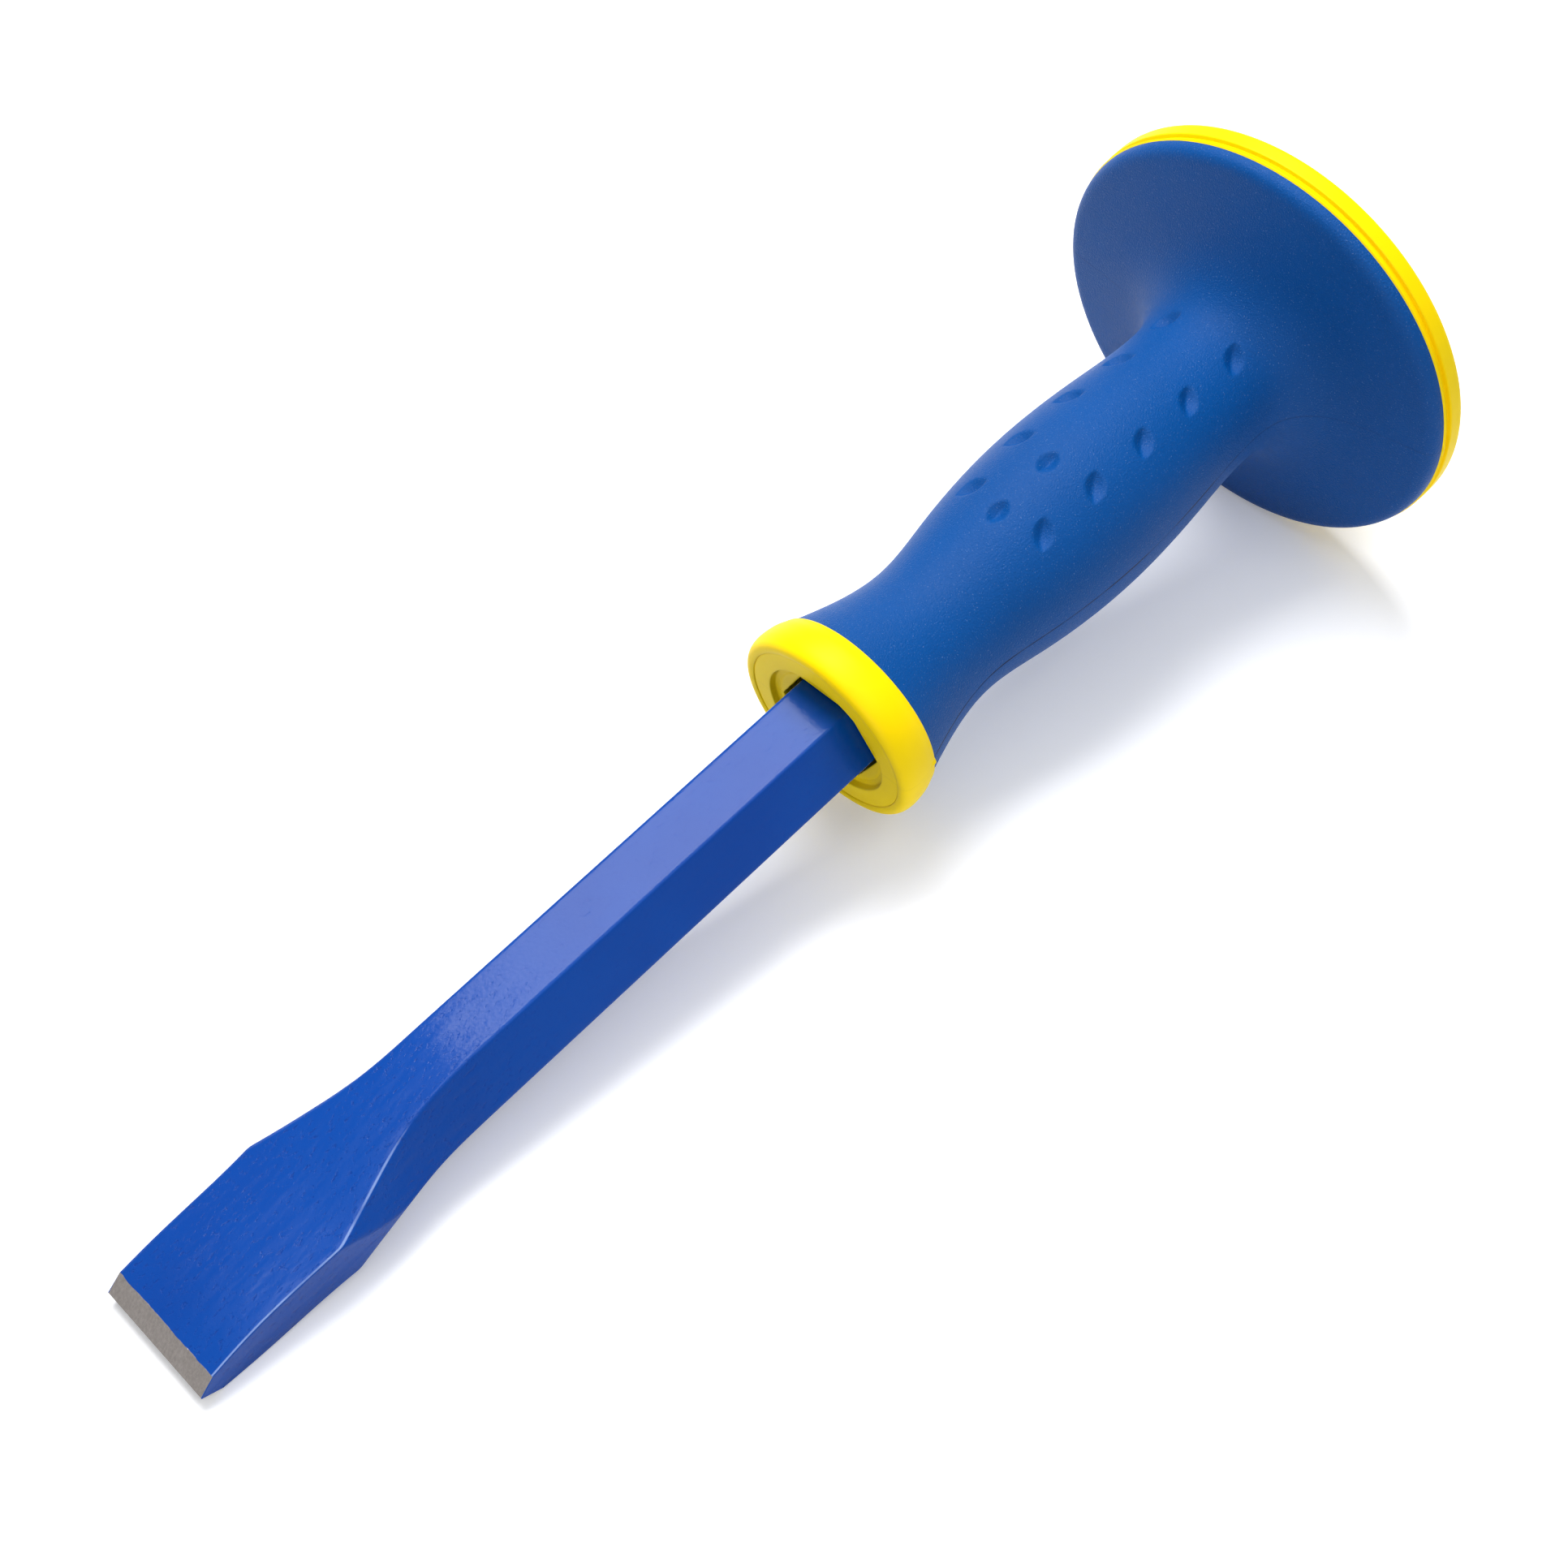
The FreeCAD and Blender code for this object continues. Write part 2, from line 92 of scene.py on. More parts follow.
def net(name, rings, body, node, sharp=(), capped=False, closed=False):
    """A mesh strung on rings of points in mm. sharp lists the rings that stay creased."""
    grid = np.asarray(rings)
    rows, columns = grid.shape[:2]
    points = grid.reshape(-1, 3) * MM @ lying_rows[:3, :3].T + lying_rows[:3, 3]
    row = np.arange(rows if closed else rows - 1)
    column = np.arange(columns)
    here = row[:, None] * columns + column[None, :]
    beside = row[:, None] * columns + (column + 1)[None, :] % columns
    next_row = ((row + 1) % rows)[:, None] * columns
    ahead = next_row + column[None, :]
    across = next_row + (column + 1)[None, :] % columns
    quads = np.stack([here, beside, across, ahead], axis=-1).reshape(-1, 4)
    faces = quads.tolist()
    if capped:
        faces.append(list(range(columns))[::-1])
        faces.append(list(range((rows - 1) * columns, rows * columns)))
    mesh = bpy.data.meshes.new(name)
    mesh.from_pydata(points.tolist(), [], faces)
    mesh.polygons.foreach_set("use_smooth", [True] * len(mesh.polygons))
    ends = np.zeros(len(mesh.edges) * 2, dtype=int)
    mesh.edges.foreach_get("vertices", ends)
    rings_of = ends.reshape(-1, 2) // columns
    creased = (rings_of[:, 0] == rings_of[:, 1]) & np.isin(rings_of[:, 0], list(sharp))
    crease = mesh.attributes.new("sharp_edge", "BOOLEAN", "EDGE")
    crease.data.foreach_set("value", creased)
    mesh.validate()
    mesh.update()
    piece = bpy.data.objects.new(name, mesh)
    bpy.context.scene.collection.objects.link(piece)
    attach(piece, body)
    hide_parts(node)
    print(name, "points:", len(points), "faces:", len(faces))
    return piece


print("points in each ring:", STEPS_ROUND)

# %% [markdown]
# Sizes along a forging or a grip are known at a few stations, and the metal or the moulding runs
# smoothly between them. A natural cubic spline through the stations gives that flow: it bends as
# little as it can while still passing through each one.

# %% A smooth curve through stations
def spline(stations, values, places):
    """Natural cubic spline through values at stations, read at places."""
    x = np.asarray(stations, dtype=float)
    y = np.asarray(values, dtype=float)
    gap = np.diff(x)
    slope = np.diff(y, axis=0) / (gap[:, None] if y.ndim > 1 else gap)
    count = len(x)
    system = np.eye(count)
    right = np.zeros_like(y)
    for i in range(1, count - 1):
        system[i, i - 1:i + 2] = gap[i - 1], 2 * (gap[i - 1] + gap[i]), gap[i]
        right[i] = 6 * (slope[i] - slope[i - 1])
    bend = np.linalg.solve(system, right)
    places = np.asarray(places, dtype=float)
    i = np.clip(np.searchsorted(x, places) - 1, 0, count - 2)
    width = gap[i]
    left = (x[i + 1] - places) / width
    far = (places - x[i]) / width
    if y.ndim > 1:
        width, left, far = width[:, None], left[:, None], far[:, None]
    curve = (left ** 3 - left) * bend[i] + (far ** 3 - far) * bend[i + 1]
    return left * y[i] + far * y[i + 1] + curve * width ** 2 / 6


def blend(low, high, value):
    """0 below low, 1 above high, and a soft step between."""
    share = np.clip((np.asarray(value, dtype=float) - low) / (high - low), 0, 1)
    return share * share * (3 - 2 * share)


print("a curve through 0, 1, 0 stands at its quarter at:", spline([0, 1, 2], [0, 1, 0], [0.5])[0])

# %% [markdown]
# The bar is forged from hexagonal stock. Each cross-section is a convex outline held in by planes:
# top and bottom, the two sides of the blade, and four slanted faces that are the hexagon's own
# until the blade opens out. Adding the planes' inverse distances to a high power, instead of
# taking the nearest plane, rounds every ridge as a die does. A bevel on the CAD edges would have
# to be repaired where ridges meet and fade; here they fade by themselves. The blade's broad faces
# are slightly crowned. Along the blade the points of a ring are crowded towards its ridges, and
# each point notes how near to a ridge it lies: the finish needs that later, for a painted
# ridge highlight.

# %% The bar's cross-sections
HEX_HALF = 9.525
HEX_CORNER = HEX_HALF / math.cos(math.radians(30))
BLADE_HALF = 12.7
BEVEL_END = 3.4
SHOULDER_HALF = 2.85
EDGE_HALF = 0.1
HEX_START = 62.0
SLANT_OPEN = 24.0
CROWN_LENGTH = 4.6
CROWN_INSET = 3.6
RIDGE_POWER = 64
BLADE_RIDGE_POWER = 36
BLADE_FLANK_POWER = 150
BLADE_CROWN = 0.045
CROWN_POWER = 1.9
BROAD_END = 68.0
BLADE_FORM_END = 44.0
HEX_FORM_START = 66.0
CROWDING = 0.7
SIDE_ROOM = 0.05
SIDE_ROOM_START = 50.0
SHANK_RIDGE_FADE = 0.85

broad_stations = [BEVEL_END, 10.3, 20.4, 31.0, 46.0, 54.0, HEX_START, BROAD_END]
broad_halves = [SHOULDER_HALF, 4.1, 4.8, 5.3, 7.75, 8.85, 9.46, HEX_HALF]
plan_stations = [0.0, 16.0, 31.0, 38.0, 46.0, 54.5, HEX_START]
plan_halves = [BLADE_HALF, 12.35, 12.7, 12.95, 12.3, 11.2, HEX_CORNER]
slant_stations = [SLANT_OPEN, 31.0, 41.0, 51.0, HEX_START]
slant_halves = [15.3, 13.45, 11.35, 9.85, HEX_HALF]


def broad_half(x):
    """Half thickness between the two broad faces."""
    if x <= BEVEL_END:
        return EDGE_HALF + (SHOULDER_HALF - EDGE_HALF) * x / BEVEL_END
    return float(spline(broad_stations, broad_halves, [min(x, BROAD_END)])[0])


def gathered(heading, planes, power):
    """Sum over planes of how far each heading reaches towards each plane, to a power."""
    total = np.zeros(len(heading))
    for normal, reach in planes:
        total += (np.maximum(heading @ np.array(normal), 0) / reach) ** power
    return total


ridge_share = []


def section(x):
    """The bar's outline at x, as a ring of points. It also notes how near a ridge each one is."""
    thick = broad_half(x)
    hexagonal = float(blend(BLADE_FORM_END, HEX_FORM_START, x))
    crowded = turn + CROWDING * (1 - hexagonal) * np.sin(4 * turn) / 4
    wide = float(spline(plan_stations, plan_halves, [min(x, HEX_START)])[0])
    slant = float(spline(slant_stations, slant_halves, [np.clip(x, SLANT_OPEN, HEX_START)])[0])
    heading = np.stack([wide * np.cos(crowded), thick * np.sin(crowded)], axis=1)
    side_half = wide * (1 + SIDE_ROOM * float(blend(SIDE_ROOM_START, HEX_START, x)))
    flanks = [((1, 0), side_half), ((-1, 0), side_half)]
    if x > SLANT_OPEN:
        for angle in (30, 150, 210, 330):
            normal = (math.cos(math.radians(angle)), math.sin(math.radians(angle)))
            flanks.append((normal, slant))
    ridge_power = BLADE_RIDGE_POWER + (RIDGE_POWER - BLADE_RIDGE_POWER) * hexagonal
    flank_power = BLADE_FLANK_POWER + (RIDGE_POWER - BLADE_FLANK_POWER) * hexagonal
    flank_pull = gathered(heading, flanks, flank_power) ** (ridge_power / flank_power)
    pull = gathered(heading, [((0, 1), thick), ((0, -1), thick)], ridge_power) + flank_pull
    crown_start = bar_length - CROWN_LENGTH
    if x > crown_start:
        share = (x - crown_start) / CROWN_LENGTH
        crown = HEX_CORNER - CROWN_INSET * share ** CROWN_POWER
        pull += (np.hypot(heading[:, 0], heading[:, 1]) / crown) ** ridge_power
    outline = heading * (pull ** (-1 / ridge_power))[:, None]
    outline[:, 1] *= 1 - BLADE_CROWN * (1 - hexagonal) * (outline[:, 0] / wide) ** 2
    flank_share = flank_pull / pull
    nearness = 4 * flank_share * (1 - flank_share)
    ridge_share.append(nearness * (1 - SHANK_RIDGE_FADE * hexagonal))
    return np.column_stack([np.full(STEPS_ROUND, x), outline])


print("hexagon across its corners, mm:", round(2 * HEX_CORNER, 2))

# %% [markdown]
# The bar's rings lie close together on the blade, where the form changes, and wide apart on the
# plain shank. The head's rings crowd towards its end, so the struck crown is a smooth curve. The
# edge and the shoulder of the ground bevel are the only two creases.

# %% String the bar's net
SHANK_ROWS_START = HEX_START + 4
BLADE_STEP = 0.45
bevel_rows = np.linspace(0, BEVEL_END, 9)
blade_rows = np.arange(BEVEL_END, SHANK_ROWS_START, BLADE_STEP)[1:]
shank_rows = np.linspace(SHANK_ROWS_START, bar_length - CROWN_LENGTH, 130)[1:]
crown_turn = np.linspace(0, np.pi / 2, 14)[1:]
crown_rows = bar_length - CROWN_LENGTH + CROWN_LENGTH * np.sin(crown_turn)
bar_rows = np.concatenate([bevel_rows, blade_rows, shank_rows, crown_rows])
head_middle = [ring(bar_length, radius) for radius in (6.0, 4.0, 2.0, 0.4)]
forged_bar = net(
    "forged_bar",
    [section(x) for x in bar_rows] + head_middle,
    "bar", "chisel_bar",
    sharp=(0, len(bevel_rows) - 1),
    capped=True,
)
ridge_share += [np.zeros(STEPS_ROUND)] * len(head_middle)
ridge_mark = forged_bar.data.attributes.new("ridge", "FLOAT", "POINT")
ridge_mark.data.foreach_set("value", np.concatenate(ridge_share).astype(np.float32))
print("ridge marks:", len(ridge_mark.data))

# %% [markdown]
# The turned pieces of the guard are outlines spun about the bar. Real mouldings have no knife
# edges, so each corner of an outline carries a small radius. The radius is worked out from the
# corner's two sides, which keeps the outline itself short: only true corners are listed.

# %% Outlines with rounded corners
ROOM_SHARE = 0.49
CLOSE_PAIR = 0.06


def rounded(corners, steps=6):
    """Points of an open outline. Each corner is (x, radius from the axis, rounding), in mm."""
    points = []
    for i, (x, r, bend) in enumerate(corners):
        here = np.array([x, r])
        if bend == 0:
            points.append(here)
            continue
        before = np.array(corners[i - 1][:2]) - here
        after = np.array(corners[i + 1][:2]) - here
        room = min(np.linalg.norm(before), np.linalg.norm(after))
        before = before / np.linalg.norm(before)
        after = after / np.linalg.norm(after)
        half_angle = math.acos(float(np.clip(before @ after, -1, 1))) / 2
        back = min(bend / math.tan(half_angle), room * ROOM_SHARE)
        start, end = here + before * back, here + after * back
        for share in np.linspace(0, 1, steps):
            pull = 2 * share * (1 - share)
            points.append(start * (1 - share) ** 2 + here * pull + end * share ** 2)
    return np.array(points)


def evenly(points, step):
    """The same outline with long sides divided, and a close pair at each of their ends."""
    result = []
    for start, end in zip(points[:-1], points[1:]):
        length = np.linalg.norm(end - start)
        result.append(start)
        if length > 4 * CLOSE_PAIR and length > step * 0.5:
            inner = np.linspace(CLOSE_PAIR, length - CLOSE_PAIR, max(2, int(length / step) + 1))
            result += [start + (end - start) * at / length for at in inner]
    result.append(points[-1])
    return np.array(result)


def walked_along(stations):
    """Distance walked along the stations, from 0 at the first one."""
    strides = np.linalg.norm(np.diff(stations, axis=0), axis=1)
    return np.concatenate([[0], np.cumsum(strides)])


print("a rounded square corner has points:", len(rounded([(0, 1, 0), (1, 1, 0.2), (1, 0, 0)])))

# %% [markdown]
# The nose collar is a soft, rounded band. It is widest just behind its front and thins a little
# towards the grip. Its front meets the liner flush, and the hair-fine gap between the two leaves
# a circular seam. A spline through a dozen stations gives the lip its roll, which arcs and flats
# would not. A nick and a scrap of flash at its back edge are what trimming leaves.

# %% The nose collar
SEAM_GRIP_X = 160.8
LINER_FACE_X = 152.4
LINER_RING_R = 17.80
COLLAR_R = 20.44
COLLAR_BACK_R = 19.24
SLEEVE_R = 12.75
nose_side = np.array([
    (LINER_FACE_X - 0.10, LINER_RING_R + 0.02),
    (LINER_FACE_X - 0.24, LINER_RING_R + 0.45),
    (LINER_FACE_X - 0.28, LINER_RING_R + 0.95),
    (LINER_FACE_X - 0.10, LINER_RING_R + 1.58),
    (LINER_FACE_X + 0.45, COLLAR_R - 0.52),
    (LINER_FACE_X + 1.25, COLLAR_R - 0.18),
    (LINER_FACE_X + 2.40, COLLAR_R),
    (LINER_FACE_X + 4.20, COLLAR_R - 0.09),
    (LINER_FACE_X + 6.40, COLLAR_R - 0.55),
    (LINER_FACE_X + 7.80, COLLAR_BACK_R + 0.12),
    (LINER_FACE_X + 8.15, COLLAR_BACK_R - 0.03),
    (SEAM_GRIP_X - 0.02, COLLAR_BACK_R - 0.36),
])
nose_walk = walked_along(nose_side)
nose_curve = spline(nose_walk, nose_side, np.linspace(0, nose_walk[-1], 46))
nose_outline = [(LINER_FACE_X + 3.0, LINER_RING_R), *nose_curve, (SEAM_GRIP_X, SLEEVE_R + 1)]
print("nose collar rings:", len(nose_outline))


def burr(height, width, x, centre, half_length):
    """A scrap of flash on the parting line: how far it stands out, in each direction."""
    aside = (turn - np.pi) * COLLAR_R
    return height * np.exp(-(aside / width) ** 2) * math.exp(-((x - centre) / half_length) ** 2)


NOTCH_STEPS_ASIDE = 8
nose_rings = []
for x, r in nose_outline:
    outside = r > SLEEVE_R + 3
    scrap = outside * burr(0.45, 0.4, x, SEAM_GRIP_X - 0.5, 0.8)
    notch = outside * burr(0.6, 0.25, x, SEAM_GRIP_X, 0.5)
    nose_rings.append(ring(x, r + scrap - np.roll(notch, NOTCH_STEPS_ASIDE)))
nose_band = net("nose_band", nose_rings, "guard", "nose_collar")

# %% [markdown]
# The liner is the inner sleeve. Its nose is a flat ring, then a round recess with drafted walls,
# and in the recess floor the hexagonal hole. A circle and a hexagon can be ends of one net if
# both have the same number of points, each pair in the same direction from the axis.

# %% The liner with its hexagonal hole
RECESS_R = 13.89
RECESS_FLOOR_X = 153.6
FLOOR_LINE_R = 12.5
MOUTH_HALF = 10.125
MOUTH_END_X = 159.6
BORE_HALF = 9.585
SLEEVE_BACK_X = 283.2
HOLE_CORNER_POWER = 90
SEAM_GAP = 0.03
LINE_HALF = 0.12
OUTLINE_STEP = 0.5


def hexagon(half):
    """Distance to a hexagon with level flats, in each direction round the bar."""
    reach = np.zeros(STEPS_ROUND)
    for angle in range(30, 390, 60):
        facing = np.maximum(np.cos(turn - math.radians(angle)), 0)
        reach += (facing / half) ** HOLE_CORNER_POWER
    return reach ** (-1 / HOLE_CORNER_POWER)


liner_face = rounded([
    (LINER_FACE_X + 3.5, LINER_RING_R - SEAM_GAP, 0),
    (LINER_FACE_X, LINER_RING_R - SEAM_GAP, 0.14),
    (LINER_FACE_X, RECESS_R, 0.3),
    (RECESS_FLOOR_X, RECESS_R - 0.35, 0.25),
    (RECESS_FLOOR_X, FLOOR_LINE_R + LINE_HALF, 0),
    (RECESS_FLOOR_X + 0.14, FLOOR_LINE_R, 0),
    (RECESS_FLOOR_X, FLOOR_LINE_R - LINE_HALF, 0),
])
liner_rings = [ring(x, r) for x, r in evenly(liner_face, OUTLINE_STEP)]
floor_circle = ring(RECESS_FLOOR_X, FLOOR_LINE_R - LINE_HALF)
mouth_edge = ring(RECESS_FLOOR_X, hexagon(MOUTH_HALF + 0.2))
liner_rings += [floor_circle * (1 - share) + mouth_edge * share for share in (0.33, 0.66)]
hole_steps = [
    (RECESS_FLOOR_X, MOUTH_HALF + 0.2),
    (RECESS_FLOOR_X + 0.06, MOUTH_HALF + 0.06),
    (RECESS_FLOOR_X + 0.25, MOUTH_HALF),
    (MOUTH_END_X, MOUTH_HALF),
    (MOUTH_END_X + 0.1, BORE_HALF),
    (SLEEVE_BACK_X - 0.3, BORE_HALF),
    (SLEEVE_BACK_X, BORE_HALF + 0.3),
]
liner_rings += [ring(x, hexagon(half)) for x, half in hole_steps]
liner_rings += [ring(SLEEVE_BACK_X, SLEEVE_R - 0.3), ring(SLEEVE_BACK_X - 0.3, SLEEVE_R)]
liner_rings += [ring(LINER_FACE_X + 5.5, SLEEVE_R)]
HOLE_RINGS = 10
bore_liner = net(
    "bore_liner", liner_rings, "guard", "core_sleeve",
    closed=True,
    sharp=tuple(range(len(liner_rings) - HOLE_RINGS, len(liner_rings))),
)

# %% [markdown]
# The grip is one flowing moulding: a waist behind the collar, a belly for the palm, a neck, and a
# trumpet that opens into the guard's round face. Its side follows a spline. Distance along that
# curve, not x, spaces the rings, so the steep face of the flange is as well covered as the belly.

# %% The grip's side
grip_stations = np.array([
    (160.8, 18.8),
    (169.5, 16.2),
    (181.0, 14.55),
    (194.5, 16.3),
    (217.5, 18.4),
    (238.0, 17.25),
    (252.0, 16.1),
    (261.0, 17.6),
    (266.2, 23.2),
    (268.7, 32.0),
    (270.0, 41.75),
])
FLANGE_BACK_X = 272.8
FLANGE_R = 44.65
GRIP_STEP = 0.38
LIP_LEAN = 0.32
grip_walk = walked_along(grip_stations)
grip_side = spline(grip_walk, grip_stations, np.arange(0, grip_walk[-1], GRIP_STEP))
lip_turn = np.linspace(0, 1, 14)[:, None]
lip_start = grip_stations[-1]
lip_knee = np.array([lip_start[0] + LIP_LEAN, FLANGE_R])
lip_end = np.array([FLANGE_BACK_X, FLANGE_R])
lip_side = (
    lip_start * (1 - lip_turn) ** 2 + lip_knee * 2 * lip_turn * (1 - lip_turn)
    + lip_end * lip_turn ** 2
)
print("grip rings:", len(grip_side) + len(lip_side))

# %% [markdown]
# The dimples are pressed in, in rows above and below. Each is a pointed oval bowl whose sides meet
# in a soft crease. The outer rows lie aslant, low end towards the blade; the middle row is short
# and level. They are part of the mesh, because the light rolls over their rims. A bump map would
# flatten at the silhouette.

# %% Press the dimples
DIMPLE_FIRST_X = 202.0
DIMPLE_PITCH = 13.6
DIMPLE_ROW_ANGLE = 30
DIMPLE_HALF_WIDTH = 2.05
DIMPLE_HALF_LENGTH = 3.3
DIMPLE_DEPTH = 1.3
DIMPLE_SLANT = 42
DIMPLE_SOFTNESS = 0.05
DIMPLE_CREASE = 0.08
DIMPLE_BOWL_POWER = 1.2
MIDDLE_HALF_LENGTH = DIMPLE_HALF_LENGTH - 0.5
MIDDLE_SHIFT = 2.4
dimples = []
for facing in (90, 270):
    for number in range(5):
        for side in (1, -1):
            place = (DIMPLE_FIRST_X + DIMPLE_PITCH * number, facing + side * DIMPLE_ROW_ANGLE)
            dimples.append((*place, DIMPLE_HALF_LENGTH, -side * DIMPLE_SLANT))
    for number in range(2):
        place = (DIMPLE_FIRST_X - MIDDLE_SHIFT + DIMPLE_PITCH * number, facing)
        dimples.append((*place, MIDDLE_HALF_LENGTH, 0))
print("dimples:", len(dimples))


def pressed(x, radius, lean):
    """How deep the surface lies below the plain side at x, in each direction."""
    depth = np.zeros(STEPS_ROUND)
    for centre, facing, half_length, slant in dimples:
        if abs(x - centre) > DIMPLE_HALF_LENGTH * 1.5:
            continue
        ahead = (x - centre) / math.cos(lean)
        away = (turn - math.radians(facing) + np.pi) % (2 * np.pi) - np.pi
        aside = away * radius
        cos_slant, sin_slant = math.cos(math.radians(slant)), math.sin(math.radians(slant))
        long_way = (ahead * cos_slant + aside * sin_slant) / half_length
        short_way = (aside * cos_slant - ahead * sin_slant) / DIMPLE_HALF_WIDTH
        inside = 1 - long_way ** 2 - np.hypot(short_way, DIMPLE_CREASE) ** DIMPLE_BOWL_POWER
        bowl = DIMPLE_SOFTNESS * np.logaddexp(0, inside / DIMPLE_SOFTNESS)
        depth += DIMPLE_DEPTH * bowl
    return depth


FLARE_X = 264
PARTING_DIP = 0.08
NECK_R = 15.0
on_parting = np.isin(np.arange(STEPS_ROUND), [0, STEPS_ROUND // 2])
grip_rings = [ring(SEAM_GRIP_X, SLEEVE_R + 0.5)]
grip_slope = np.gradient(grip_side[:, 1], grip_side[:, 0])
for (x, r), slope in zip(grip_side, grip_slope):
    lean = math.atan(slope)
    sunk = on_parting * PARTING_DIP * (NECK_R / r) ** 3
    if x < FLARE_X:
        sunk = sunk + pressed(x, r, lean) / math.cos(lean)
    grip_rings.append(ring(x, r - sunk))
grip_rings += [ring(x, r) for x, r in lip_side[1:]]
grip_rings += [ring(FLANGE_BACK_X, SLEEVE_R + 0.5)]
soft_grip = net(
    "soft_grip", grip_rings, "guard", "grip",
    sharp=(1, len(grip_rings) - 2),
)

# %% [markdown]
# The rim plate backs the flange. From the front only its edge shows: a thin lip against the blue,
# a groove with a gate mark in it, and a wider band. Behind, it is dished, and rises to a hub round
# the sleeve. The edge is an outline with rounded corners, the dish a spline: the two are strung
# into one net, so there is no seam where a flat disc and a turned edge would meet.

# %% The rim plate
RIM_R = 45.0
GROOVE_X = 273.15
GROOVE_WIDTH = 1.5
GROOVE_DEPTH = 0.45
PLATE_BACK_X = 278.3
DISH_X = 276.7
DISH_R = 39.0
HUB_R = 19.0
DISH_STEP = 0.7
HUB_STEP = 0.8
dish_stations = np.array([
    (DISH_X, DISH_R),
    (DISH_X + 0.55, DISH_R - 7),
    (DISH_X + 2.0, DISH_R - 14),
    (SLEEVE_BACK_X, HUB_R),
])
dish_walk = walked_along(dish_stations)
dish_side = spline(dish_walk, dish_stations, np.arange(0.6, dish_walk[-1] - 0.3, DISH_STEP))
rim_edge = rounded([
    (FLANGE_BACK_X, SLEEVE_R + 0.5, 0),
    (FLANGE_BACK_X, FLANGE_R - 0.03, 0.1),
    (GROOVE_X, RIM_R, 0.12),
    (GROOVE_X + 0.1, RIM_R - GROOVE_DEPTH, 0.12),
    (GROOVE_X + GROOVE_WIDTH - 0.1, RIM_R - GROOVE_DEPTH - 0.4, 0.05),
    (GROOVE_X + GROOVE_WIDTH, RIM_R, 0.3),
    (PLATE_BACK_X, RIM_R, 1.3),
    (PLATE_BACK_X, DISH_R + 1.5, 0.6),
    (DISH_X, DISH_R, 0),
], steps=8)
hub_end = rounded([
    (SLEEVE_BACK_X - 0.2, HUB_R + 0.4, 0),
    (SLEEVE_BACK_X, HUB_R - 0.6, 0.8),
    (SLEEVE_BACK_X, SLEEVE_R + 0.02, 0),
])
rim_rings = []
for x, r in evenly(rim_edge, OUTLINE_STEP):
    gate = (r > RIM_R - 1) * burr(0.4, 0.5, x, GROOVE_X + 0.6, 0.9)
    rim_rings.append(ring(x, np.minimum(r + gate, RIM_R)))
rim_rings += [ring(x, r) for x, r in dish_side]
rim_rings += [ring(x, r) for x, r in evenly(hub_end, HUB_STEP)[1:]]
rim_plate = net("rim_plate", rim_rings, "guard", "guard_rim")

# %% [markdown]
# Materials are built from nodes. A small helper adds a node and fills its sockets in one line,
# with a value or with another node's output, so that a material reads from top to bottom.

# %% Node helpers
def add(tree, kind, settings=None, **sockets):
    """A node with its settings, and its sockets filled: a_b stands for the socket 'A B'."""
    node = tree.nodes.new(kind)
    for key, value in (settings or {}).items():
        setattr(node, key, value)
    for key, value in sockets.items():
        fill(tree, node, key.replace("_", " ").title(), value)
    return node


def fill(tree, node, socket, value):
    """Link an output to an input, or set the input's value."""
    target = node.inputs[socket]
    if isinstance(value, bpy.types.NodeSocket):
        tree.links.new(value, target)
    else:
        target.default_value = value


def maths(tree, operation, *terms):
    """A Math node on up to three terms, each a number or an output."""
    node = tree.nodes.new("ShaderNodeMath")
    node.operation = operation
    for index, term in enumerate(terms):
        fill(tree, node, index, term)
    return node.outputs[0]


def ramp(tree, value, low, high, start=0.0, end=1.0):
    """Value carried smoothly from start to end as it goes from low to high."""
    node = tree.nodes.new("ShaderNodeMapRange")
    node.interpolation_type = "SMOOTHSTEP"
    for index, term in enumerate((value, low, high, start, end)):
        fill(tree, node, index, term)
    return node.outputs["Result"]


def mixed(tree, share, first, second):
    """Colour that goes from first to second by share."""
    node = tree.nodes.new("ShaderNodeMix")
    node.data_type = "RGBA"
    fill(tree, node, 0, share)
    fill(tree, node, 6, first)
    fill(tree, node, 7, second)
    return node.outputs[2]


def noise(tree, where, scale, detail=3.0, roughness=0.5, stretch=None):
    """Noise from 0 to 1. scale is in lumps per metre, stretch squeezes it along x, y, z."""
    if stretch:
        mapping = add(tree, "ShaderNodeMapping", Vector=where, Scale=stretch)
        where = mapping.outputs[0]
    node = add(
        tree, "ShaderNodeTexNoise",
        Vector=where, Scale=scale, Detail=detail, Roughness=roughness,
    )
    return node.outputs[0]


def group(name, inputs, outputs):
    """An empty node group with named sockets, its input node and its output node."""
    tree = bpy.data.node_groups.new(name, "ShaderNodeTree")
    for socket, (kind, value) in inputs.items():
        made = tree.interface.new_socket(socket, in_out="INPUT", socket_type=kind)
        if value is not None:
            made.default_value = value
    for socket, kind in outputs.items():
        tree.interface.new_socket(socket, in_out="OUTPUT", socket_type=kind)
    return tree, tree.nodes.new("NodeGroupInput").outputs, tree.nodes.new("NodeGroupOutput")


def use(tree, which, **values):
    """Place a node group in a material."""
    node = tree.nodes.new("ShaderNodeGroup")
    node.node_tree = which
    for key, value in values.items():
        fill(tree, node, key.replace("_", " ").capitalize(), value)
    return node.outputs


FLOAT = "NodeSocketFloat"
COLOUR = "NodeSocketColor"
VECTOR = "NodeSocketVector"
print("node helpers ready")
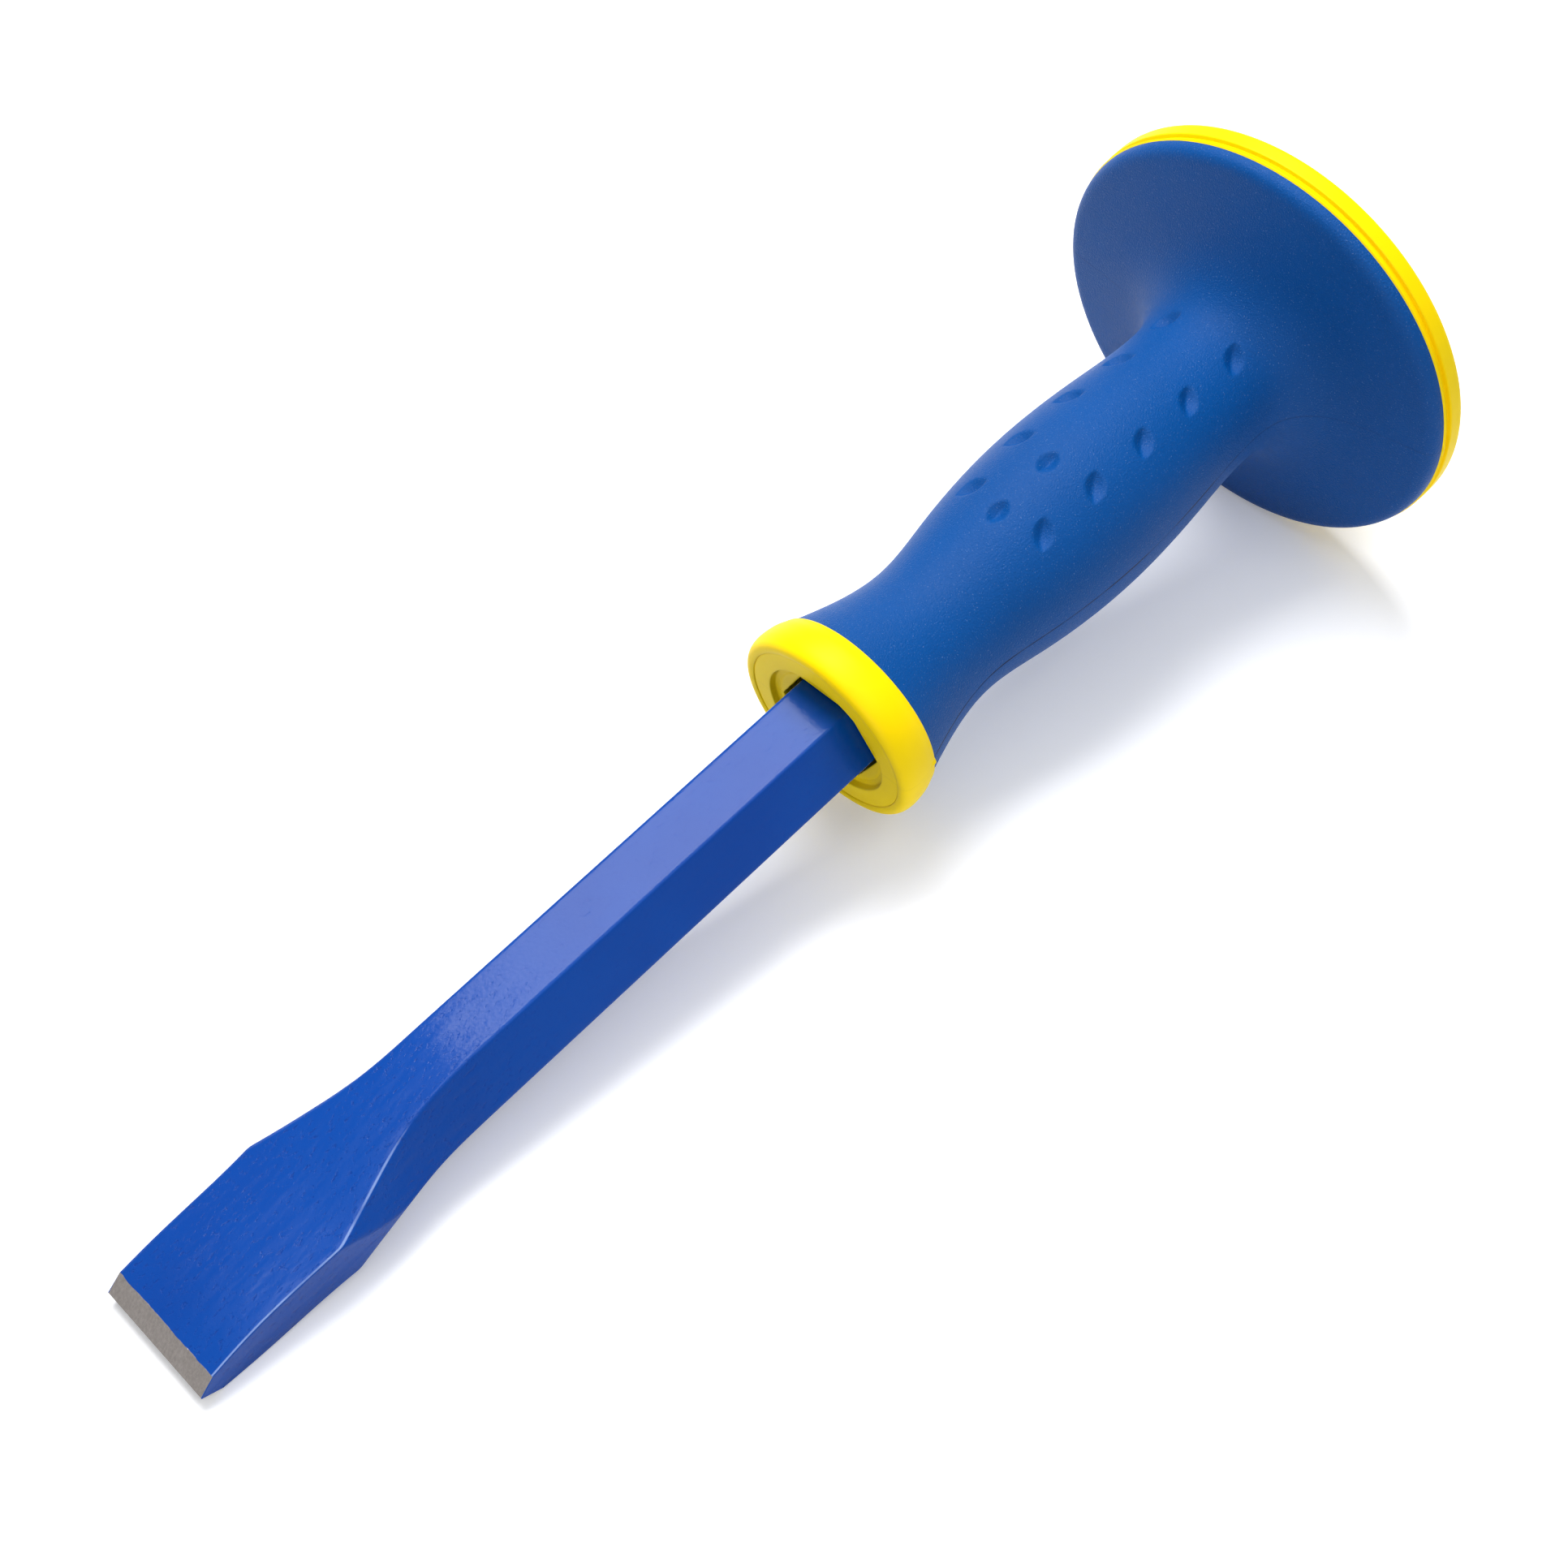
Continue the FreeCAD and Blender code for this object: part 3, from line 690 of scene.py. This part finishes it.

# %% [markdown]
# Moulded plastic carries the texture of its tool: a fine grain, a slight unevenness of gloss, and
# here and there a pale speck, partly a scuff or dust and partly a painted glint of the grain. Blue
# and yellow mouldings share this effect, so it is one node group with its own inputs, and each
# material sets how strong it is.

# %% Group: moulded surface
moulded, given, result = group(
    "moulded_surface",
    {
        "Place": (VECTOR, None),
        "Colour": (COLOUR, (0.5, 0.5, 0.5, 1)),
        "Grain size": (FLOAT, 2500.0),
        "Gloss": (FLOAT, 0.45),
        "Uneven": (FLOAT, 0.08),
        "Speck": (FLOAT, 0.3),
    },
    {"Colour": COLOUR, "Roughness": FLOAT, "Height": FLOAT},
)
grain = noise(moulded, given["Place"], given["Grain size"], 2.0, 0.6)
DUST_AND_GLINT_COLOUR = (0.35, 0.48, 0.72, 1)
clouds = noise(moulded, given["Place"], 60.0, 4.0, 0.55)
# Pale specks: partly dust, partly painted glints that stand in for the grain catching the light.
dust_and_glints = noise(moulded, given["Place"], 3700.0, 1.0, 0.5)
specks = maths(moulded, "MULTIPLY", ramp(moulded, dust_and_glints, 0.64, 0.78), given["Speck"])
tint = ramp(moulded, clouds, 0.3, 0.7, 0.975, 1.025)
toned = add(moulded, "ShaderNodeVectorMath", {"operation": "SCALE"})
fill(moulded, toned, 0, given["Colour"])
fill(moulded, toned, "Scale", tint)
fill(moulded, result, "Colour", mixed(moulded, specks, toned.outputs[0], DUST_AND_GLINT_COLOUR))
swing = maths(moulded, "MULTIPLY", maths(moulded, "SUBTRACT", clouds, 0.5), given["Uneven"])
fine = maths(moulded, "MULTIPLY", maths(moulded, "SUBTRACT", grain, 0.5), given["Uneven"])
rough = maths(moulded, "ADD", given["Gloss"], maths(moulded, "ADD", swing, fine))
fill(moulded, result, "Roughness", rough)
fill(moulded, result, "Height", grain)
print("group:", moulded.name)

# %% [markdown]
# The two halves of the mould meet on the plane z = 0, and leave a hair-fine line along both
# sides of every moulded piece. Distance from that plane gives the line, broken up by noise.

# %% Group: parting line
parting, given, result = group(
    "parting_line",
    {"Place": (VECTOR, None), "Width": (FLOAT, 0.00012), "Strength": (FLOAT, 1.0)},
    {"Line": FLOAT},
)
height = add(parting, "ShaderNodeSeparateXYZ", Vector=given["Place"]).outputs["Z"]
distance = maths(parting, "ABSOLUTE", height)
inner = maths(parting, "MULTIPLY", given["Width"], 0.5)
line = maths(parting, "SUBTRACT", 1.0, ramp(parting, distance, inner, given["Width"]))
broken = ramp(parting, noise(parting, given["Place"], 90.0), 0.35, 0.6, 0.25, 1.0)
shown = maths(parting, "MULTIPLY", maths(parting, "MULTIPLY", line, broken), given["Strength"])
fill(parting, result, "Line", shown)
print("group:", parting.name)

# %% [markdown]
# Every finish is placed by the tool's own frame, so a line that runs along the grip or a rim across
# the bevel can be given in the tool's x, y and z. A Mapping node undoes the tool's slope. The grain
# and the parting line are relief too: each drives a Bump, one on top of the other.

# %% Material starter
def starter(name):
    """A material with its Principled shader and the place on the tool."""
    material = bpy.data.materials.new(name)
    material.use_nodes = True
    tree = material.node_tree
    shader = tree.nodes["Principled BSDF"]
    where = tree.nodes.new("ShaderNodeTexCoord").outputs["Object"]
    back = {"vector_type": "TEXTURE"}
    mapping = add(tree, "ShaderNodeMapping", back, Vector=where, Location=lying.translation)
    mapping.inputs["Rotation"].default_value = lying.to_euler()
    return material, tree, shader, mapping.outputs[0]


def relief(tree, shader, height, strength, distance, below=None):
    """Bump from a height, in metres, on top of another bump if there is one."""
    bump = add(tree, "ShaderNodeBump", Strength=strength, Distance=distance, Height=height)
    if below is not None:
        fill(tree, bump, "Normal", below)
    fill(tree, shader, "Normal", bump.outputs[0])
    return bump.outputs[0]


LINE_FADE_LENGTH = 0.018
LINE_FADED = 0.25
LINE_DEPTH = 0.00006


def moulding(name, colour, gloss, grain_size, uneven, speck, line_dark, grain_depth, line):
    """A moulded material: colour, grain, specks and the parting line.

    line is the parting line's width, its strength, and the x from which it fades.
    """
    material, tree, shader, place = starter(name)
    surface = use(
        tree, moulded, Place=place, Colour=colour, Grain_size=grain_size, Gloss=gloss,
        Uneven=uneven, Speck=speck,
    )
    width, strength, fading_x = line
    x_along = add(tree, "ShaderNodeSeparateXYZ", Vector=place).outputs["X"]
    faded_x = fading_x + LINE_FADE_LENGTH
    lasting = ramp(tree, x_along, fading_x, faded_x, strength, strength * LINE_FADED)
    seam = use(tree, parting, Place=place, Width=width, Strength=lasting)["Line"]
    darker = tuple(part * line_dark for part in colour[:3]) + (1,)
    fill(tree, shader, "Base Color", mixed(tree, seam, surface["Colour"], darker))
    fill(tree, shader, "Roughness", surface["Roughness"])
    below = relief(tree, shader, surface["Height"], 1.0, grain_depth)
    relief(tree, shader, seam, 0.6, LINE_DEPTH, below)
    return material, shader


print("finishes are placed from:", [round(part, 4) for part in lying.translation])

# %% [markdown]
# The grip is a soft blue moulding with a satin skin. Its gloss is wide and faint, so the roughness
# is high and the specular low. The grain is deep enough to break the gloss up a little where it
# catches the light. A sheen would whiten the whole silhouette instead.

# %% The blue grip
grip_blue, shader = moulding(
    "satin_blue_moulding",
    colour=(0.0, 0.065, 0.268, 1),
    gloss=0.46,
    grain_size=3000.0,
    uneven=0.22,
    # Pale specks, partly dust and partly painted glints.
    speck=0.17,
    line_dark=0.12,
    grain_depth=0.00016,
    line=(0.00026, 1.0, 0.246),
)
shader.inputs["Specular IOR Level"].default_value = 0.11
soft_grip.data.materials.append(grip_blue)
print("material:", grip_blue.name)

# %% [markdown]
# The collar, the liner and the rim plate are a harder yellow moulding, bright and slightly glossy.
# Light passing through its skin could be modelled too, but the pieces are thick, so it would not
# show, and it would cost render time. A warm base colour gives the same amber in the shade.

# %% The yellow mouldings
band_yellow, shader = moulding(
    "bright_yellow_moulding",
    colour=(0.99, 0.71, 0.0, 1),
    gloss=0.45,
    grain_size=2600.0,
    uneven=0.08,
    speck=0.0,
    line_dark=0.6,
    grain_depth=0.000012,
    line=(0.0001, 0.3, 0.165),
)
shader.inputs["Specular IOR Level"].default_value = 0.08
for piece in (nose_band, bore_liner, rim_plate):
    piece.data.materials.append(band_yellow)
print("material:", band_yellow.name)

# %% [markdown]
# The bar wears a glossy blue lacquer over forged steel. Forging scale leaves shallow pits and
# long low waves on the blade, and the lacquer softens them and adds its own orange peel. Along
# the blade's ridges, on the near side only, a paler blue is painted in as a highlight that stands
# in for the lamps' glint; the ridge marks of the mesh say where. The
# cutting bevels are ground after lacquering: bare steel, with short scratches square to the edge.
# One material holds both, because the lacquer's ragged rim lies across one surface. First come
# the masks, which say where each thing happens.

# %% Masks on the bar
LACQUER_EDGE = BEVEL_END * MM
EDGE_BLUR = 0.00006
RAGGED_BY = 0.0005
BARE_SIDE = 0.22
LACQUERED_SIDE = 0.14
HIGHLIT_SIDE_HALF = 0.003
bar_finish, tree, shader, place = starter("blue_lacquer_on_forged_steel")
direction = add(tree, "ShaderNodeSeparateXYZ", Vector=place).outputs
wobble = maths(tree, "SUBTRACT", noise(tree, place, 420.0), 0.5)
rim_place = maths(tree, "ADD", direction["X"], maths(tree, "MULTIPLY", wobble, RAGGED_BY))
past_rim = ramp(tree, rim_place, LACQUER_EDGE - EDGE_BLUR, LACQUER_EDGE + EDGE_BLUR)
ground = maths(tree, "SUBTRACT", 1.0, past_rim)
y_across = maths(tree, "ABSOLUTE", direction["Y"])
flank = ramp(tree, y_across, (BLADE_HALF - BARE_SIDE) * MM, (BLADE_HALF - LACQUERED_SIDE) * MM)
bare = maths(tree, "MULTIPLY", ground, maths(tree, "SUBTRACT", 1.0, flank))
lacquered = maths(tree, "SUBTRACT", 1.0, bare)
forged = maths(tree, "SUBTRACT", 1.0, ramp(tree, direction["X"], 0.050, 0.085, 0.0, 0.78))
pits = noise(tree, place, 1500.0, 3.0, 0.6, stretch=(0.5, 1.0, 1.0))
pit_depth = maths(tree, "MULTIPLY", ramp(tree, pits, 0.54, 0.76), forged)
swell = noise(tree, place, 230.0, 2.5, 0.55, stretch=(0.32, 1.0, 1.0))
waves = maths(tree, "MULTIPLY", swell, forged)
peel = noise(tree, place, 1500.0, 1.5, 0.5)
scratches = noise(tree, place, 2200.0, 3.0, 0.7, stretch=(0.12, 1.0, 1.0))
ridge = add(tree, "ShaderNodeAttribute", {"attribute_name": "ridge"}).outputs["Fac"]
# Painted highlight: a paler blue along the blade's ridges, on the near side only, stands in for the
# ridges' reflection of the lamps.
highlit_side = ramp(tree, direction["Y"], -HIGHLIT_SIDE_HALF, HIGHLIT_SIDE_HALF, 1.0, 0.12)
patches = ramp(tree, noise(tree, place, 160.0), 0.3, 0.6, 0.4, 1.0)
patchy_highlight = maths(tree, "MULTIPLY", patches, highlit_side)
painted_highlight = maths(tree, "MULTIPLY", ramp(tree, ridge, 0.72, 1.0, 0.0, 0.72), patchy_highlight)
print("masks on the bar: ground bevel, pits, waves, peel, scratches, rubbed ridges")

# %% [markdown]
# Then each mask gives its colour, its gloss and its relief. The reliefs are stacked as four Bump
# nodes, each over the one before, so that each keeps its own depth in metres: one Bump on their
# sum would need them all scaled to a common height first.

# %% The bar's colour, gloss and relief
LACQUER_DEEP = (0.0, 0.050, 0.312, 1)
LACQUER_BRIGHT = (0.0, 0.058, 0.342, 1)
PIT_BLUE = (0.0, 0.040, 0.27, 1)
# Paler blue painted on the near ridges as a highlight.
HIGHLIGHT_BLUE = (0.30, 0.42, 0.75, 1)
STEEL_DARK = (0.14, 0.126, 0.118, 1)
STEEL_BRIGHT = (0.31, 0.283, 0.266, 1)
LACQUER_ROUGH = 0.17
STEEL_ROUGHER = 0.30
PIT_RELIEF = 0.00005
WAVE_RELIEF = 0.0003
PEEL_RELIEF = 0.000018
SCRATCH_RELIEF = 0.00003
clouded = ramp(tree, noise(tree, place, 40.0), 0.3, 0.7)
lacquer = mixed(tree, clouded, LACQUER_DEEP, LACQUER_BRIGHT)
lacquer = mixed(tree, pit_depth, lacquer, PIT_BLUE)
# The painted ridge highlight is laid over the lacquer.
lacquer = mixed(tree, painted_highlight, lacquer, HIGHLIGHT_BLUE)
steel = mixed(tree, scratches, STEEL_DARK, STEEL_BRIGHT)
fill(tree, shader, "Base Color", mixed(tree, bare, lacquer, steel))
fill(tree, shader, "Metallic", bare)
uneven = maths(tree, "MULTIPLY", maths(tree, "SUBTRACT", peel, 0.5), 0.06)
gloss = maths(tree, "ADD", LACQUER_ROUGH, uneven)
rougher = maths(tree, "MULTIPLY", bare, STEEL_ROUGHER)
fill(tree, shader, "Roughness", maths(tree, "ADD", gloss, rougher))
pitted = maths(tree, "MULTIPLY", pit_depth, lacquered)
below = relief(tree, shader, maths(tree, "SUBTRACT", 1.0, pitted), 1.0, PIT_RELIEF)
below = relief(tree, shader, waves, 1.0, WAVE_RELIEF, below)
below = relief(tree, shader, maths(tree, "MULTIPLY", peel, lacquered), 1.0, PEEL_RELIEF, below)
relief(tree, shader, maths(tree, "MULTIPLY", scratches, bare), 1.0, SCRATCH_RELIEF, below)
shader.inputs["Specular IOR Level"].default_value = 0.13
forged_bar.data.materials.append(bar_finish)
print("material:", bar_finish.name)

# %% [markdown]
# The stage is a pale floor that runs out of sight. Seen straight, or in a reflection, the world is
# plain white. So is the floor far away, while near the tool it glows only a little, so that the
# shadow and the light that the tool bounces onto it show. Brighter lamps would whiten the floor
# too, but they would bleach the tool.

# %% The floor
def looked_at(tree):
    """1 where a ray comes from the eye, straight, off a gloss or through glass. Else 0."""
    ray = tree.nodes.new("ShaderNodeLightPath").outputs
    bent = maths(tree, "MAXIMUM", ray["Is Glossy Ray"], ray["Is Transmission Ray"])
    return maths(tree, "MAXIMUM", ray["Is Camera Ray"], bent)


FLOOR_HALF = 3.0
FLOOR_LIFT = 0.24
FLOOR_NEAR = 0.35
FLOOR_FAR = 0.95
PAPER_SHADE = (0.90, 0.905, 0.92, 1)
PAPER_WHITE = (0.92, 0.925, 0.94, 1)
floor_mesh = bpy.data.meshes.new("studio_floor")
corner_signs = [(-1, -1), (1, -1), (1, 1), (-1, 1)]
corners = [(FLOOR_HALF * across, FLOOR_HALF * deep, 0) for across, deep in corner_signs]
floor_mesh.from_pydata(corners, [], [(0, 1, 2, 3)])
floor = bpy.data.objects.new("studio_floor", floor_mesh)
bpy.context.scene.collection.objects.link(floor)
paper = bpy.data.materials.new("white_paper")
paper.use_nodes = True
tree = paper.node_tree
shader = tree.nodes["Principled BSDF"]
place = tree.nodes.new("ShaderNodeTexCoord").outputs["Object"]
fibre = noise(tree, place, 400.0, 2.0)
fill(tree, shader, "Base Color", mixed(tree, fibre, PAPER_SHADE, PAPER_WHITE))
shader.inputs["Roughness"].default_value = 0.9
shader.inputs["Specular IOR Level"].default_value = 0.1
shader.inputs["Emission Color"].default_value = (1, 1, 1, 1)
away = add(tree, "ShaderNodeVectorMath", {"operation": "LENGTH"})
fill(tree, away, 0, place)
lift = ramp(tree, away.outputs["Value"], FLOOR_NEAR, FLOOR_FAR, FLOOR_LIFT, 1.0)
fill(tree, shader, "Emission Strength", maths(tree, "MULTIPLY", looked_at(tree), lift))
floor_mesh.materials.append(paper)
print("floor, metres across:", 2 * FLOOR_HALF)

# %% [markdown]
# The light is a studio's. A soft box above and behind the tool is the key: its reflection lies
# along the top flat of the bar. A very broad one overhead fills the shadows, and two weak ones
# light the near side and the front. Two more only show in the gloss: one hazes the blade, one
# glints on the ground bevels. A small strong lamp could do that, but it would also cast a shadow.
# The surround is even, and a little blue where it only lights.

# %% Lamps and surround
def soft_box(name, place, target, width, depth, power, gloss_only=False):
    """A rectangular lamp at a place of the tool's frame, in mm, facing a target there."""
    lamp = bpy.data.lights.new(name, "AREA")
    lamp.shape = "RECTANGLE"
    lamp.size = width * MM
    lamp.size_y = depth * MM
    lamp.energy = power
    lamp_object = bpy.data.objects.new(name, lamp)
    bpy.context.scene.collection.objects.link(lamp_object)
    lamp_object.location = laid(*place)
    lamp_object.visible_diffuse = not gloss_only
    facing = (laid(*place) - laid(*target)).to_track_quat("Z", "Y")
    lamp_object.rotation_euler = facing.to_euler()


FRONT_PLACE = (-330, -420, 330)
FRONT_TARGET = (250, 0, 0)
soft_box("key_box", (395, 255, 640), (220, 60, 0), 490, 350, 6.3)
soft_box("fill_box", (150, 0, 820), (150, 0, 0), 900, 900, 2.3)
soft_box("haze_box", (30, 90, 640), (60, 0, 0), 190, 290, 0.7, gloss_only=True)
soft_box("near_box", (290, -390, 600), (150, 0, 0), 330, 260, 0.8)
soft_box("front_box", FRONT_PLACE, FRONT_TARGET, 300, 300, 0.4)
soft_box("glint_box", FRONT_PLACE, FRONT_TARGET, 300, 300, 1.3, gloss_only=True)

SURROUND_LEVEL = 0.25
SURROUND_TINT = (0.90, 0.94, 1.0, 1)
world = bpy.data.worlds.new("surround")
bpy.context.scene.world = world
world.use_nodes = True
tree = world.node_tree
seen = looked_at(tree)
backdrop = tree.nodes["Background"]
fill(tree, backdrop, "Color", mixed(tree, seen, SURROUND_TINT, (1, 1, 1, 1)))
fill(tree, backdrop, "Strength", ramp(tree, seen, 0.0, 1.0, SURROUND_LEVEL, 1.0))

# %% [markdown]
# The camera looks down on the tool from its lower left, so the bar climbs from the lower left
# corner of the view to the guard at the upper right. It stands close, which spreads the guard. Its
# place, its aim and its upward direction are given in the tool's frame, and a matrix is built from
# them: Euler angles would be harder to read.

# %% The camera
CAMERA_PLACE = (15.06, -179.43, 329.83)
CAMERA_AIM = (139.6, -2.3, 0.0)
CAMERA_UP = (0.6418, 0.5479, 0.5366)
FOCAL_LENGTH = 51.25
SENSOR_WIDTH = 36.0
camera_data = bpy.data.cameras.new("camera")
camera_data.lens = FOCAL_LENGTH
camera_data.sensor_width = SENSOR_WIDTH
camera = bpy.data.objects.new("camera", camera_data)
bpy.context.scene.collection.objects.link(camera)
camera_place = laid(*CAMERA_PLACE)
backward = (camera_place - laid(*CAMERA_AIM)).normalized()
camera_up = (lying.to_3x3() @ Vector(CAMERA_UP)).normalized()
camera_right = camera_up.cross(backward).normalized()
camera_up = backward.cross(camera_right)
camera_turn = Matrix((camera_right, camera_up, backward)).transposed().to_4x4()
camera_turn.translation = camera_place
camera.matrix_world = camera_turn
bpy.context.scene.camera = camera
bpy.context.scene.view_settings.view_transform = "Standard"
print("camera to its aim, mm:", round((camera_place - laid(*CAMERA_AIM)).length / MM, 1))
